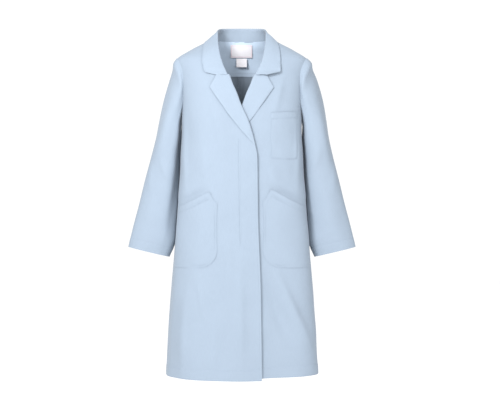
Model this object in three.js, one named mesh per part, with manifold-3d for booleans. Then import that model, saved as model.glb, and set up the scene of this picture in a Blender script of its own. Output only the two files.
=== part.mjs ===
// A women's long lab coat of woven cotton, as it hangs filled out on a body form.
// Millimetres, +Z up, the front faces -Y, and +X is the wearer's left.
// The origin is midway between the two shoulder-neck points, where a hanger's hook rises out of the neck.
import * as THREE from "three";
import { mergeVertices } from "three/addons/utils/BufferGeometryUtils.js";
import Module from "manifold-3d";

const wasm = await Module();
wasm.setup();

// Driving dimensions.
const CLOTH = 1.4; // one made-up layer of cloth, drawn thicker than the real 0.4 mm weave
const SEAM_GAP = 0.4; // between two pieces that are sewn together
const LAYER_GAP = 0.5; // between two layers that lie on each other
const HEM_Z = -1028;
const WAIST_SPLIT_Z = -372; // below it the fronts swing, above it they stay with the shoulders
const SIDE_SEAM_Y = -20;
const BACK_SQUARENESS = 2.5; // superellipse power of the body's plan outline
const FRONT_SQUARENESS = 2.5;
const RIGHT_FRONT_LIFT = 9; // the right front laps over the left by this much
const LIFT_WIDTH = 90; // the lift grows over this width from the side seam
const POCKET_ROOM = 8; // free depth inside a patch pocket
const FAR = 1500; // larger than the coat
const COLUMNS = 18; // round a front or a back

// Height, half width, depth forward and depth back from the side seams, from the neck to the hem.
const BODY_RINGS = [
  [20, 80, 22, 76],
  [0, 113, 36, 80],
  [-25, 160, 54, 92],
  [-58, 205, 72, 104],
  [-110, 196, 90, 112],
  [-170, 186, 98, 118],
  [-270, 184, 101, 119],
  [-400, 191, 97, 111],
  [-620, 206, 97, 113],
  [-860, 224, 100, 120],
  [HEM_Z, 233, 103, 124],
];

const CLOTH_BLUE = 0xc8d9ed;
const LAPEL_BLUE = 0xcfdfee;
const LINING_BLUE = 0xbacde4;
const LABEL_WHITE = 0xf4f2f0;
const BUTTON_BLUE = 0xd9e4ef;

function clothMaterial(color) {
  return new THREE.MeshStandardMaterial({ color, roughness: 0.9, metalness: 0 });
}

function plasticMaterial(color) {
  return new THREE.MeshStandardMaterial({ color, roughness: 0.4, metalness: 0 });
}

// The row of a table at a key in its first column, on straight lines between its rows.
function rowAt(table, key) {
  const falling = table[0][0] > table[table.length - 1][0];
  const t = falling ? -key : key;
  const keys = table.map((row) => (falling ? -row[0] : row[0]));
  const last = table.length - 2;
  let i = 0;
  while (i < last && keys[i + 1] < t) {
    i += 1;
  }
  const share = THREE.MathUtils.clamp((t - keys[i]) / (keys[i + 1] - keys[i]), 0, 1);
  return table[i].map((value, k) => THREE.MathUtils.lerp(value, table[i + 1][k], share));
}

// A point on the body's outline at a height. turn runs from 0 at the left side seam to 1 at the right one.
function bodyPoint(turn, z, isFront, offset) {
  const [, halfWidth, forward, back] = rowAt(BODY_RINGS, z);
  const power = 2 / (isFront ? FRONT_SQUARENESS : BACK_SQUARENESS);
  const c = Math.cos(Math.PI * turn);
  const s = Math.sin(Math.PI * turn);
  const x = (halfWidth + offset) * Math.sign(c) * Math.abs(c) ** power;
  const depth = (isFront ? -forward : back) + (isFront ? -offset : offset);
  return new THREE.Vector3(x, SIDE_SEAM_Y + depth * s ** power, z);
}

// How far a front stands off the body's outline, from its side seam to its edge.
function frontLift(side, x, z) {
  if (side > 0) {
    return 0;
  }
  const [, halfWidth] = rowAt(BODY_RINGS, z);
  return RIGHT_FRONT_LIFT * THREE.MathUtils.smoothstep(halfWidth - Math.abs(x), 0, LIFT_WIDTH);
}

// Turns a closed geometry into a solid, whichever way its faces were wound.
function toSolid(geometry) {
  const bare = geometry.clone();
  bare.deleteAttribute("normal");
  bare.deleteAttribute("uv");
  const merged = mergeVertices(bare, 1e-4);
  const triVerts = new Uint32Array(merged.index.array);
  const vertProperties = merged.attributes.position.array;
  const made = new wasm.Manifold(new wasm.Mesh({ numProp: 3, vertProperties, triVerts }));
  if (made.volume() > 0) {
    return made;
  }
  for (let i = 0; i < triVerts.length; i += 3) {
    [triVerts[i + 1], triVerts[i + 2]] = [triVerts[i + 2], triVerts[i + 1]];
  }
  return new wasm.Manifold(new wasm.Mesh({ numProp: 3, vertProperties, triVerts }));
}

// Bends a flat slab: place takes shares across, along and through it, each from 0 to 1.
function bentSlab(across, along, place) {
  const geometry = new THREE.BoxGeometry(1, 1, 1, across, along, 1);
  const position = geometry.attributes.position;
  for (let i = 0; i < position.count; i += 1) {
    const u = position.getX(i) + 0.5;
    const v = position.getY(i) + 0.5;
    const w = position.getZ(i) + 0.5;
    const p = place(u, v, w);
    position.setXYZ(i, p.x, p.y, p.z);
  }
  return toSolid(geometry);
}

// A closed round solid: place takes the angle round it and the share along it.
function loftedSolid(sides, steps, place) {
  const geometry = new THREE.CylinderGeometry(1, 1, 1, sides, steps);
  const position = geometry.attributes.position;
  for (let i = 0; i < position.count; i += 1) {
    const radius = Math.hypot(position.getX(i), position.getZ(i));
    const angle = Math.atan2(position.getZ(i), position.getX(i));
    const p = place(radius > 0.5 ? angle : null, 0.5 - position.getY(i));
    position.setXYZ(i, p.x, p.y, p.z);
  }
  return toSolid(geometry);
}

// A prism along Y over an outline of [x, z] corners.
function prism(corners, yFrom, yTo) {
  const shape = new THREE.Shape(corners.map(([x, z]) => new THREE.Vector2(x, z)));
  const geometry = new THREE.ExtrudeGeometry(shape, { depth: yTo - yFrom, bevelEnabled: false });
  geometry.rotateX(Math.PI / 2);
  geometry.translate(0, yTo, 0);
  return toSolid(geometry);
}

// A block between two opposite corners.
function block(low, high) {
  const size = high.map((value, k) => value - low[k]);
  const geometry = new THREE.BoxGeometry(...size);
  geometry.translate(...low.map((value, k) => value + size[k] / 2));
  return toSolid(geometry);
}

// A cut can leave a scrap beside the piece itself: only the piece is kept.
function largest(solid) {
  return solid.decompose().reduce((best, piece) => (piece.volume() > best.volume() ? piece : best));
}

function mirrorX(corners, side) {
  return corners.map(([x, z]) => [x * side, z]);
}

const coat = new THREE.Group();

function addNode(name, solid, material) {
  const mesh = largest(solid).getMesh();
  const geometry = new THREE.BufferGeometry();
  const positions = new Float32Array(mesh.numVert * 3);
  for (let i = 0; i < mesh.numVert; i += 1) {
    positions.set(mesh.vertProperties.subarray(i * mesh.numProp, i * mesh.numProp + 3), i * 3);
  }
  geometry.setAttribute("position", new THREE.BufferAttribute(positions, 3));
  geometry.setIndex(new THREE.BufferAttribute(mesh.triVerts, 1));
  geometry.computeVertexNormals();
  const node = new THREE.Mesh(geometry, material);
  node.name = name;
  coat.add(node);
}

// Body shells: a curved slab of the front or the back between two offsets from the body's outline.
const RING_TOP_Z = 20;
const HEIGHTS = [20, 0, -25, -58, -110, -170, -220, -270, -335, -400, -510, -620, -740, -860, -950, HEM_Z];

function frontShell(side, inner, outer, zTop, zBottom, columns = COLUMNS) {
  const stops = HEIGHTS.filter((z) => z < zTop && z > zBottom);
  const rows = [zTop, ...stops, zBottom];
  return bentSlab(columns, rows.length - 1, (u, v, w) => {
    const z = rows[Math.round((1 - v) * (rows.length - 1))];
    const bare = bodyPoint(u, z, true, 0);
    const lift = frontLift(side, bare.x, z);
    return bodyPoint(u, z, true, lift + THREE.MathUtils.lerp(inner, outer, w));
  });
}

function backShell(inner, outer, zTop, zBottom) {
  const stops = HEIGHTS.filter((z) => z < zTop && z > zBottom);
  const rows = [zTop, ...stops, zBottom];
  return bentSlab(COLUMNS, rows.length - 1, (u, v, w) => {
    const z = rows[Math.round((1 - v) * (rows.length - 1))];
    return bodyPoint(u, z, false, THREE.MathUtils.lerp(inner, outer, w));
  });
}

// Sleeves: oval sections square to an axis that leans out, from inside the shoulder to the cuff.
const SLEEVE_LEAN = THREE.MathUtils.degToRad(13.5);
const SLEEVE_TOP = [149, 8, -72]; // where the axis starts, on the left sleeve
const SLEEVE_HEAD = -6; // along the axis, where the sleeve head closes at the shoulder tip
const SLEEVE_LENGTH = 590;
const ELBOW_AT = 345; // along the axis
const ELBOW_GAP = 1.2;
const ARMHOLE_DEPTH = 300; // along the axis, past the underarm
const OVERRUN = 5; // how far a hollow is cut past an open end
const SLEEVE_SIDES = 24;
const ENVELOPE_SIDES = 60;
// Distance along the axis, offset of the outer edge, offset of the inner edge, half depth, depth shift.
const SLEEVE_SECTIONS = [
  [SLEEVE_HEAD, 60, -42, 58, 0],
  [30, 66, -42, 68, 0],
  [115, 70, -40, 76, 2],
  [190, 68, -26, 77, 4],
  [250, 66, -14, 74, 6],
  [322, 66, -26, 66, 8],
  [418, 67, -42, 55, 8],
  [508, 67, -50, 42, 4],
  [SLEEVE_LENGTH, 67, -63, 31, 0],
];

function sleevePoint(side, along, angle, shrink) {
  const [, outer, inner, halfDepth, shift] = rowAt(SLEEVE_SECTIONS, along);
  const middle = (outer + inner) / 2;
  const halfWidth = (outer - inner) / 2 - shrink;
  const off = angle === null ? middle : middle + halfWidth * Math.cos(angle);
  const y = angle === null ? 0 : (halfDepth - shrink) * Math.sin(angle);
  const x = SLEEVE_TOP[0] + along * Math.sin(SLEEVE_LEAN) + off * Math.cos(SLEEVE_LEAN);
  const z = SLEEVE_TOP[2] - along * Math.cos(SLEEVE_LEAN) + off * Math.sin(SLEEVE_LEAN);
  return new THREE.Vector3(x * side, SLEEVE_TOP[1] + shift + y, z);
}

const SLEEVE_STATIONS = [30, 72, 115, 190, 250, 322, 370, 418, 463, 508, 550];

function sleeveSolid(side, from, to, shrink) {
  const stops = SLEEVE_STATIONS.filter((s) => s > from && s < to);
  const stations = [from, ...stops, to];
  return loftedSolid(SLEEVE_SIDES, stations.length - 1, (angle, share) => {
    const along = stations[Math.round(share * (stations.length - 1))];
    return sleevePoint(side, along, angle, shrink);
  });
}

// The body's outline as one closed solid, grown a little, to trim the sleeve caps.
function bodyEnvelope(grow) {
  const steps = HEIGHTS.length - 1;
  return loftedSolid(ENVELOPE_SIDES, steps, (angle, share) => {
    const z = HEIGHTS[Math.round(share * steps)];
    if (angle === null) {
      return new THREE.Vector3(0, SIDE_SEAM_Y, z);
    }
    const isFront = angle < 0;
    const turn = Math.abs(angle) / Math.PI;
    return bodyPoint(turn, z, isFront, grow);
  });
}

const armholeCuts = [1, -1].map((side) => sleeveSolid(side, SLEEVE_HEAD, ARMHOLE_DEPTH, -SEAM_GAP * 2));

function clearOfSleeves(solid) {
  return armholeCuts.reduce((rest, cut) => rest.subtract(cut), solid);
}

// Back: two panels joined by the centre-back seam, shoulder to hem.
function addBackPanels() {
  const shell = clearOfSleeves(backShell(-CLOTH, 0, RING_TOP_Z, HEM_Z));
  [1, -1].forEach((side) => {
    const half = block(
      [side > 0 ? SEAM_GAP / 2 : -FAR, SIDE_SEAM_Y + SEAM_GAP / 2, -FAR],
      [side > 0 ? FAR : -SEAM_GAP / 2, FAR, FAR],
    );
    addNode(`back_panel_${side > 0 ? "left" : "right"}`, shell.intersect(half), clothMaterial(CLOTH_BLUE));
  });
}

// Edges of the fronts as [x, z]. The roll line is where the lapel turns back.
const NECKLINE = [
  [-101, 21],
  [-94, -12],
  [-84, -60],
  [-68, -106],
];
const ROLL_LINE = [
  [-38, -114],
  [-18, -160],
  [-3, -200],
  [18, -246],
  [40, -319],
];
const FRONT_EDGE = [
  [47, -353],
  [49, -530],
  [57, -756],
  [61, HEM_Z],
];
const SIDE_X = 300;
const EDGE_AT_SPLIT_X = 47.3;

// A front is cut to its edge, and divided at the line where it starts to swing.
function frontPanelOutline(isUpper) {
  const split = WAIST_SPLIT_Z;
  if (isUpper) {
    const line = [...NECKLINE, ...ROLL_LINE, FRONT_EDGE[0], [EDGE_AT_SPLIT_X, split + SEAM_GAP]];
    return [[-SIDE_X, RING_TOP_Z + 1], ...line, [-SIDE_X, split + SEAM_GAP]];
  }
  const line = [[EDGE_AT_SPLIT_X, split - SEAM_GAP], ...FRONT_EDGE.slice(1)];
  return [[-SIDE_X, split - SEAM_GAP], ...line, [-SIDE_X, HEM_Z]];
}

const IN_FRONT = [-FAR, SIDE_SEAM_Y - SEAM_GAP / 2];

function addFrontPanels() {
  [1, -1].forEach((side) => {
    const word = side > 0 ? "left" : "right";
    const shell = clearOfSleeves(frontShell(side, -CLOTH, 0, RING_TOP_Z, HEM_Z));
    ["upper", "lower"].forEach((level) => {
      const outline = mirrorX(frontPanelOutline(level === "upper"), -side);
      const panel = shell.intersect(prism(outline, ...IN_FRONT));
      addNode(`${word}_front_${level}`, panel, clothMaterial(CLOTH_BLUE));
    });
  });
}

// Facings line the front edges on the inside, as wide as the fly's stitch line.
const FACING_WIDTH = 62;
const FACING_EDGE_X = 44;
const FACING_FLARE = 8; // the front edge leans out towards the hem
const FACING_HEM = 4; // the facing stops short of the hem

function edgeStrip(fromX, toX, zTop, zBottom, flare) {
  return [
    [fromX, zTop],
    [toX, zTop],
    [toX + flare, zBottom],
    [fromX, zBottom],
  ];
}

function addFacings() {
  [1, -1].forEach((side) => {
    const word = side > 0 ? "left" : "right";
    const outer = -CLOTH - LAYER_GAP;
    const top = WAIST_SPLIT_Z - 2;
    const bottom = HEM_Z + FACING_HEM;
    const shell = frontShell(side, outer - CLOTH, outer, top, bottom);
    const fromX = FACING_EDGE_X - FACING_WIDTH;
    const strip = edgeStrip(fromX, FACING_EDGE_X, top + 1, bottom - 1, FACING_FLARE);
    const outline = mirrorX(strip, -side);
    addNode(`${word}_front_facing`, shell.intersect(prism(outline, ...IN_FRONT)), clothMaterial(LINING_BLUE));
  });
}

// The concealed fly: a strip behind the right front with buttonholes, and the buttons on the left front.
const BUTTON_Z = [-338, -410, -482, -554, -626];
const BUTTON_X = 4;
const BUTTON_RADIUS = 9;
const BUTTON_THICK = 2.6;
const BUTTON_DISH = 0.8; // depth of the hollow in its face
const BUTTON_RIM = 3;
const HOLE_LENGTH = 21;
const HOLE_WIDTH = 4.6;
const FLY = { fromX: -14, toX: 38, top: WAIST_SPLIT_Z - 3, bottom: -648 };

function frontSurfaceY(side, x, z, offset) {
  const [, halfWidth, forward] = rowAt(BODY_RINGS, z);
  const lift = frontLift(side, x, z) + offset;
  const c = (Math.abs(x) / (halfWidth + lift)) ** FRONT_SQUARENESS;
  return SIDE_SEAM_Y - (forward + lift) * (1 - c) ** (1 / FRONT_SQUARENESS);
}

function addFly() {
  const outer = -2 * (CLOTH + LAYER_GAP);
  const shell = frontShell(-1, outer - CLOTH, outer, FLY.top, FLY.bottom);
  const outline = edgeStrip(FLY.fromX, FLY.toX, FLY.top + 1, FLY.bottom - 1, 2);
  let strip = shell.intersect(prism(outline, ...IN_FRONT));
  BUTTON_Z.slice(1).forEach((z) => {
    const hole = block(
      [BUTTON_X - HOLE_WIDTH / 2, -FAR, z - HOLE_LENGTH / 2],
      [BUTTON_X + HOLE_WIDTH / 2, 0, z + HOLE_LENGTH / 2],
    );
    strip = strip.subtract(hole);
  });
  addNode("right_fly_strip", strip, clothMaterial(LINING_BLUE));
}

function addButtons() {
  const dish = BUTTON_THICK - BUTTON_DISH;
  const profile = [
    [0, 0],
    [BUTTON_RADIUS - 2, 0],
    [BUTTON_RADIUS, 0.8],
    [BUTTON_RADIUS, BUTTON_THICK - 0.6],
    [BUTTON_RADIUS - 1, BUTTON_THICK],
    [BUTTON_RADIUS - BUTTON_RIM, dish],
    [0, dish],
  ].map(([r, h]) => new THREE.Vector2(r, h));
  BUTTON_Z.forEach((z, index) => {
    const geometry = new THREE.LatheGeometry(profile, 24);
    geometry.rotateX(Math.PI);
    geometry.translate(BUTTON_X, frontSurfaceY(1, BUTTON_X, z, 0) - SEAM_GAP, z);
    addNode(`button_${index + 1}`, toSolid(geometry), plasticMaterial(BUTTON_BLUE));
  });
}

// Lapels: each is the facing turned back over the front, with a notch under the collar.
const LAPEL_STAND = 1.6; // off the cloth under it
const LAPEL_SPAN = [10, -330]; // heights that hold the whole lapel
const FINE_COLUMNS = 30; // round a front, for pieces that follow its curve closely
const LAPEL_OUTLINE = [
  [-40, -114],
  [-76, -112],
  [-96, -146],
  [-39, -230],
  [-15, -249],
  [36, -316],
  [16, -246],
  [-5, -200],
  [-20, -160],
];

function addLapels() {
  [1, -1].forEach((side) => {
    const word = side > 0 ? "left" : "right";
    const shell = frontShell(side, LAPEL_STAND, LAPEL_STAND + CLOTH, ...LAPEL_SPAN, FINE_COLUMNS);
    const lapel = shell.intersect(prism(mirrorX(LAPEL_OUTLINE, -side), ...IN_FRONT));
    addNode(`${word}_lapel`, lapel, clothMaterial(LAPEL_BLUE));
  });
}

// Patch pockets: a face and its sewn edges, open at the mouth.
const HIP_POCKET = {
  top: [
    [192, -504],
    [97, -462],
    [83, -487],
  ],
  inner: 73,
  innerTop: -496,
  bottom: -690,
  corner: 56,
  outer: 204,
  outerTop: -512,
};
const LEFT_SHIFT = { x: -9, z: 8 }; // the left pocket sits nearer the front edge and higher
const CORNER_STEPS = 6;
const MOUTH_CUT = 8; // how far the hollow is cut past the mouth

function hipPocketOutline(side, inset, mouthLift) {
  const { top, inner, innerTop, bottom, corner, outer, outerTop } = HIP_POCKET;
  const shift = side > 0 ? LEFT_SHIFT : { x: 0, z: 0 };
  const left = inner + shift.x + inset;
  const low = bottom + inset;
  const arc = [];
  for (let step = 0; step <= CORNER_STEPS; step += 1) {
    const angle = (step / CORNER_STEPS) * (Math.PI / 2);
    const radius = corner - inset;
    const x = left + radius * (1 - Math.cos(angle));
    arc.push([x, low + radius * (1 - Math.sin(angle))]);
  }
  const [mouthEnd, ...mouthCorner] = top;
  const cut = mouthCorner.map(([x, z]) => [x + shift.x + inset, z + shift.z + mouthLift]);
  const mouth = [[mouthEnd[0], mouthEnd[1] + mouthLift], ...cut, [left, innerTop + shift.z]];
  return [[outer - inset, outerTop + mouthLift], ...mouth, ...arc, [outer - inset, low]];
}

function patchPocket(side, outline, hollow, zTop, zBottom) {
  const faceInner = SEAM_GAP + POCKET_ROOM;
  const full = frontShell(side, SEAM_GAP, faceInner + CLOTH, zTop, zBottom, FINE_COLUMNS);
  const inside = frontShell(side, -CLOTH, faceInner, zTop + MOUTH_CUT, zBottom - OVERRUN, FINE_COLUMNS);
  const body = full.intersect(prism(outline, ...IN_FRONT));
  return body.subtract(inside.intersect(prism(hollow, ...IN_FRONT)));
}

function addHipPockets() {
  [1, -1].forEach((side) => {
    const word = side > 0 ? "left" : "right";
    const outline = mirrorX(hipPocketOutline(side, 0, 0), side);
    const hollow = mirrorX(hipPocketOutline(side, CLOTH, MOUTH_CUT), side);
    const zTop = HIP_POCKET.top[1][1] + LEFT_SHIFT.z + OVERRUN;
    const pocket = patchPocket(side, outline, hollow, zTop, HIP_POCKET.bottom - OVERRUN);
    addNode(`${word}_hip_pocket`, pocket, clothMaterial(CLOTH_BLUE));
  });
}

const CHEST_POCKET = { inner: 88, outer: 168, top: -218, slant: 6, bottom: -362 };

function addChestPocket() {
  const { inner, outer, top, slant, bottom } = CHEST_POCKET;
  const box = (inset, lift) => [
    [inner + inset, top - slant + lift],
    [outer - inset, top + lift],
    [outer - inset, bottom + inset],
    [inner + inset, bottom + inset],
  ];
  const pocket = patchPocket(1, box(0, 0), box(CLOTH, MOUTH_CUT), top + OVERRUN, bottom - OVERRUN);
  addNode("chest_pocket", pocket, clothMaterial(CLOTH_BLUE));
}

// Sleeves: set into the armholes, each in one piece, divided where the elbow folds it.
function addSleeves() {
  const envelope = bodyEnvelope(SEAM_GAP * 2);
  [1, -1].forEach((side) => {
    const word = side > 0 ? "left" : "right";
    const upperOuter = sleeveSolid(side, SLEEVE_HEAD, ELBOW_AT - ELBOW_GAP / 2, 0);
    const upperInner = sleeveSolid(side, SLEEVE_HEAD + CLOTH, ELBOW_AT + OVERRUN, CLOTH);
    const upper = upperOuter.subtract(upperInner).subtract(envelope);
    addNode(`${word}_sleeve_upper`, upper, clothMaterial(CLOTH_BLUE));
    const lowerOuter = sleeveSolid(side, ELBOW_AT + ELBOW_GAP / 2, SLEEVE_LENGTH, 0);
    const lowerInner = sleeveSolid(side, ELBOW_AT - OVERRUN, SLEEVE_LENGTH + OVERRUN, CLOTH);
    addNode(`${word}_sleeve_lower`, lowerOuter.subtract(lowerInner), clothMaterial(CLOTH_BLUE));
  });
}

// Collar: paths from the right notch round the back of the neck to the left notch.
// Each row: share of the way, x, y, z.
const FOLD_PATH = [
  [0, -44, -110, -103],
  [0.08, -54, -104, -82],
  [0.16, -66, -86, -44],
  [0.24, -72, -58, -4],
  [0.32, -73, -22, 34],
  [0.4, -58, 20, 48],
  [0.45, -36, 46, 53],
  [0.5, 0, 60, 55],
];
const LEAF_EDGE_PATH = [
  [0, -77, -120, -102],
  [0.08, -117, -108, -101],
  [0.16, -124, -92, -62],
  [0.24, -123, -62, -16],
  [0.32, -116, -18, 8],
  [0.4, -92, 44, 8],
  [0.45, -52, 74, 3],
  [0.5, 0, 84, 2],
];
const NECK_SEAM_PATH = [
  [0, -50, -98, -102],
  [0.08, -62, -90, -84],
  [0.16, -76, -72, -46],
  [0.24, -80, -40, -8],
  [0.32, -76, -18, 12],
  [0.4, -62, 22, 23],
  [0.45, -38, 43, 23],
  [0.5, 0, 52, 23],
];
const LEAF_BULGE = 3;
const COLLAR_STAND = 5; // the middle of the leaf's cloth off the cloth under it
const COLLAR_REACH_Z = -130; // below the whole collar
const TRIM_DEPTH = 9; // how deep the body's cloth cuts the collar back from it
const UNDER_COLLAR_SPAN = [0.3, 0.94]; // of the way from the fold to the leaf's edge

function collarPoint(table, share) {
  const [, x, y, z] = rowAt(table, Math.min(share, 1 - share));
  return new THREE.Vector3(share <= 0.5 ? x : -x, y, z);
}

// Moves a point out of the body until it clears the cloth that the collar lies on.
function offCloth(p) {
  if (p.z > RING_TOP_Z) {
    return p;
  }
  const [, halfWidth, forward, back] = rowAt(BODY_RINGS, p.z);
  const stand = COLLAR_STAND + (p.y < SIDE_SEAM_Y ? frontLift(Math.sign(p.x) || 1, p.x, p.z) : 0);
  const a = halfWidth + stand;
  const b = (p.y < SIDE_SEAM_Y ? forward : back) + stand;
  const power = p.y < SIDE_SEAM_Y ? FRONT_SQUARENESS : BACK_SQUARENESS;
  const reach = (Math.abs(p.x) / a) ** power + (Math.abs(p.y - SIDE_SEAM_Y) / b) ** power;
  if (reach >= 1) {
    return p;
  }
  const grow = reach ** (-1 / power);
  return new THREE.Vector3(p.x * grow, SIDE_SEAM_Y + (p.y - SIDE_SEAM_Y) * grow, p.z);
}

// A strip from one path to another, bulged outwards and moved along its own normal.
function collarStrip(paths, from, to, { offset = 0, bulge = 0, ends = 0, thick = CLOTH } = {}) {
  const half = FOLD_PATH.map((row) => Math.max(row[0], ends));
  const shares = [...half, ...half.slice(0, -1).reverse().map((share) => 1 - share)];
  const steps = 4;
  const surface = (share, across) => {
    const lying = offCloth(collarPoint(paths[0], share));
    const b = collarPoint(paths[1], share);
    const p = lying.lerp(b, THREE.MathUtils.lerp(from, to, across));
    return paths[1] === LEAF_EDGE_PATH ? offCloth(p) : p;
  };
  return bentSlab(shares.length - 1, steps, (u, v, w) => {
    const share = shares[Math.round(u * (shares.length - 1))];
    const along = surface(Math.min(1, share + 0.01), v).sub(surface(Math.max(0, share - 0.01), v));
    const across = surface(share, 1).sub(surface(share, 0));
    const normal = along.cross(across).normalize();
    const acrossLeaf = THREE.MathUtils.lerp(from, to, v);
    const rise = offset + bulge * 4 * acrossLeaf * (1 - acrossLeaf) + thick * (w - 0.5);
    return surface(share, v).addScaledVector(normal, rise);
  });
}

function addCollar() {
  const leafPaths = [FOLD_PATH, LEAF_EDGE_PATH];
  const standPaths = [FOLD_PATH, NECK_SEAM_PATH];
  const leaf = collarStrip(leafPaths, 0, 1, { bulge: LEAF_BULGE });
  const backTop = backShell(-TRIM_DEPTH, SEAM_GAP, RING_TOP_Z + SEAM_GAP, COLLAR_REACH_Z);
  const top = leaf.add(collarStrip(standPaths, 0, 1)).subtract(backTop);
  addNode("top_collar", top, clothMaterial(LAPEL_BLUE));
  const tuck = { offset: -CLOTH - LAYER_GAP, bulge: LEAF_BULGE, ends: 0.03 };
  const grown = { bulge: LEAF_BULGE, thick: CLOTH + 2 * LAYER_GAP };
  const grownStand = collarStrip(standPaths, 0, 1, { thick: grown.thick });
  const room = collarStrip(leafPaths, 0, 1, grown).add(grownStand);
  const fronts = [1, -1].map((side) => frontShell(side, -TRIM_DEPTH, SEAM_GAP, RING_TOP_Z, COLLAR_REACH_Z));
  const under = collarStrip(leafPaths, ...UNDER_COLLAR_SPAN, tuck).subtract(room).subtract(backTop);
  const cleared = fronts.reduce((rest, front) => rest.subtract(front), under);
  addNode("under_collar", cleared, clothMaterial(CLOTH_BLUE));
}

// Back-neck facing, with the neck label sewn on it and a small tag hanging from the label.
const FACING_BOTTOM_Z = -93;
const FACING_TOP_Z = 18;
const LABEL = { width: 68, height: 42, thick: 0.8, x: -2, topZ: 5, stand: 3.6 };
const TAG = { width: 33, height: 27, thick: 0.8, x: -1.5, stand: 1.5, drop: 1 };

function backInnerY(z, offset) {
  return bodyPoint(0.5, z, false, offset).y;
}

// Half of the neck facing's outline, from its top corner down to the middle of its lower edge.
const NECK_FACING = [
  [62, FACING_TOP_Z],
  [84, -20],
  [74, -70],
  [44, FACING_BOTTOM_Z],
];

function addNeckFacing() {
  const outer = -CLOTH - 2 * LAYER_GAP;
  const shell = backShell(outer - CLOTH, outer, FACING_TOP_Z, FACING_BOTTOM_Z);
  const outline = [...NECK_FACING, ...mirrorX(NECK_FACING, -1).reverse()];
  addNode("back_neck_facing", shell.intersect(prism(outline, SIDE_SEAM_Y, FAR)), clothMaterial(LINING_BLUE));
}

function addLabelAndTag() {
  const clear = -2 * CLOTH - 3 * LAYER_GAP - LABEL.stand;
  const bottomZ = LABEL.topZ - LABEL.height;
  const topY = backInnerY(LABEL.topZ, clear);
  const bottomY = backInnerY(bottomZ, clear);
  const lean = Math.atan2(bottomY - topY, LABEL.height);
  const label = new THREE.BoxGeometry(LABEL.width, LABEL.thick, LABEL.height);
  label.rotateX(lean);
  label.translate(LABEL.x, (topY + bottomY) / 2, LABEL.topZ - LABEL.height / 2);
  addNode("neck_label", toSolid(label), clothMaterial(LABEL_WHITE));
  const tag = new THREE.BoxGeometry(TAG.width, TAG.thick, TAG.height);
  tag.translate(TAG.x, bottomY - TAG.stand, bottomZ - TAG.drop - TAG.height / 2);
  addNode("size_tag", toSolid(tag), clothMaterial(LABEL_WHITE));
}

addBackPanels();
addFrontPanels();
addFacings();
addFly();
addButtons();
addLapels();
addHipPockets();
addChestPocket();
addSleeves();
addCollar();
addNeckFacing();
addLabelAndTag();

export default coat;
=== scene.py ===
import math

import bpy
import numpy as np
from mathutils import Matrix, Vector


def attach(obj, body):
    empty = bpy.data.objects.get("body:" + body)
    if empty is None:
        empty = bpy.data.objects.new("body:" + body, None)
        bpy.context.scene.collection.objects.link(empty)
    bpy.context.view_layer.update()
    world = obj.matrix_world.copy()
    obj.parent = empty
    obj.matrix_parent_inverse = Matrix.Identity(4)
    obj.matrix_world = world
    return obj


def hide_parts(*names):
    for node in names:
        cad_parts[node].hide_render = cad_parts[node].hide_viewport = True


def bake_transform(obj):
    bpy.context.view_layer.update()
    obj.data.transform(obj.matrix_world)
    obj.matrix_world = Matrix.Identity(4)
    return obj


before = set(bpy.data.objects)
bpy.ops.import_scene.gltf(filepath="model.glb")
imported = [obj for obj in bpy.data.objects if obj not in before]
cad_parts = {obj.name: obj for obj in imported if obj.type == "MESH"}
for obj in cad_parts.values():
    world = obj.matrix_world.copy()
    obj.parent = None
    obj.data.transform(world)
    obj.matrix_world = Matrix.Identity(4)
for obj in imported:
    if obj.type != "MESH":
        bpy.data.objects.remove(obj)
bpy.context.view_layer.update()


# Back: two panels from the shoulders to the hem, joined by a seam down the middle of the back.
# Each is one cut of cloth, turned up at the hem and stitched, and falls in soft flutes below the waist.
CLOTH_BLUE = (0.206, 0.251, 0.308)


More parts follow.
